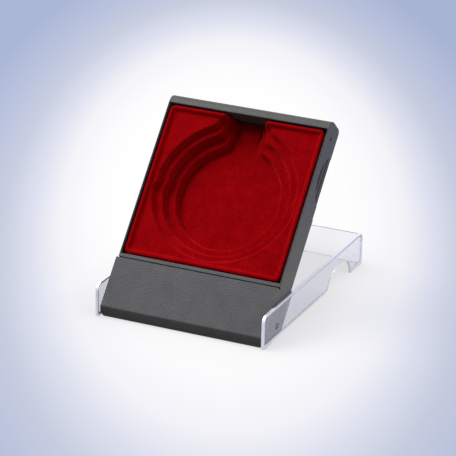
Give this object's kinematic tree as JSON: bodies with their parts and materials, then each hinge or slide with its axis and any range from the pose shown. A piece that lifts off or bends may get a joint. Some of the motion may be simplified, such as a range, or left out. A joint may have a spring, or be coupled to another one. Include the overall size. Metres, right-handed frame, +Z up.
{
  "type": "coin display case",
  "caption": "Flip-open medal or coin case: a dark tray with a stepped flocked seat leans back on its own clear lid, which serves as the stand.",
  "frame": {"origin": "on the table top, under the middle of the open case", "axes": "+X to the case's right as the viewer sees it, +Y away from the viewer, +Z up; the hinge axis runs along X"},
  "size_m": [0.0868, 0.12, 0.0867],
  "materials": {
    "case_plastic": "fine leather grain, satin",
    "cover_plastic": "fine leather grain, satin",
    "red_flock": "short velvet flock on a formed sheet",
    "pad_foam": "white adhesive foam",
    "pin_plastic": "plain moulded",
    "clear_plastic": "clear, polished"
  },
  "bodies": {
    "lid": {"lid": "clear_plastic"},
    "tray": {"tray": "case_plastic", "front_cover": "cover_plastic", "insert": "red_flock", "adhesive_pads": "pad_foam", "hinge_pins": "pin_plastic"}
  },
  "joints": [
    {"name": "tray_hinge", "type": "hinge", "parent": "lid", "child": "tray", "pos_m": [0, -0.0446, 0.0065], "axis": [1, 0, 0], "range_deg": [0, 311]}
  ]
}
